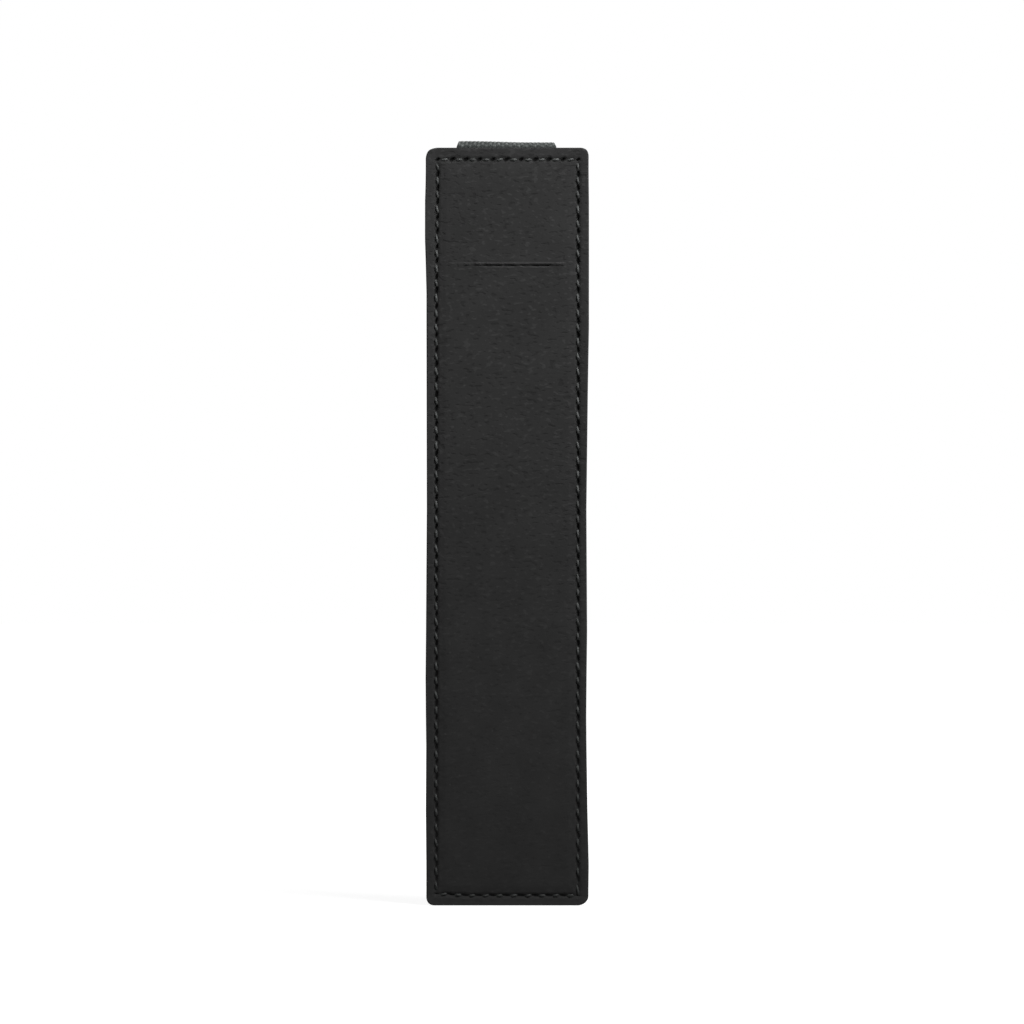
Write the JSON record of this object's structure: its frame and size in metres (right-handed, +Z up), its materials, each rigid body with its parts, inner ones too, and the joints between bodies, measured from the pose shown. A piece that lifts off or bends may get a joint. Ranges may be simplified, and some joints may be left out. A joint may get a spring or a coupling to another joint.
{
  "type": "elastic pen sleeve",
  "caption": "Flat stitched leatherette pen sleeve with a pen slit across its front and a wide elastic loop behind it that slips over a notebook cover.",
  "frame": {"origin": "centre of the back panel's rear face, where a notebook's cover rests", "axes": "+X across the sleeve, to the right as seen from the front; +Y to the back, where the elastic loop is; +Z up along the sleeve"},
  "size_m": [0.038, 0.0084, 0.1804],
  "materials": {
    "leatherette": "matte",
    "elastic": "matte",
    "thread": "satin"
  },
  "bodies": {
    "sleeve": {"front_panel": "leatherette", "back_panel": "leatherette", "needle_thread": "thread", "bobbin_thread": "thread", "band_top_tail": "elastic", "band_upper_stretch": "elastic", "band_lower_stretch": "elastic", "band_bottom_tail": "elastic"},
    "pocket": {"pocket_front": "leatherette"},
    "band": {"band_run": "elastic"}
  },
  "joints": [
    {"name": "band_open", "type": "slide", "parent": "sleeve", "child": "band", "axis": [0, 1, 0], "range_m": [0, 0.012], "stiffness_N_per_m": 150, "deforming": ["band_upper_stretch", "band_lower_stretch"]},
    {"name": "pocket_open", "type": "slide", "parent": "sleeve", "child": "pocket", "axis": [0, -1, 0], "range_m": [0, 0.0075], "stiffness_N_per_m": 200}
  ]
}
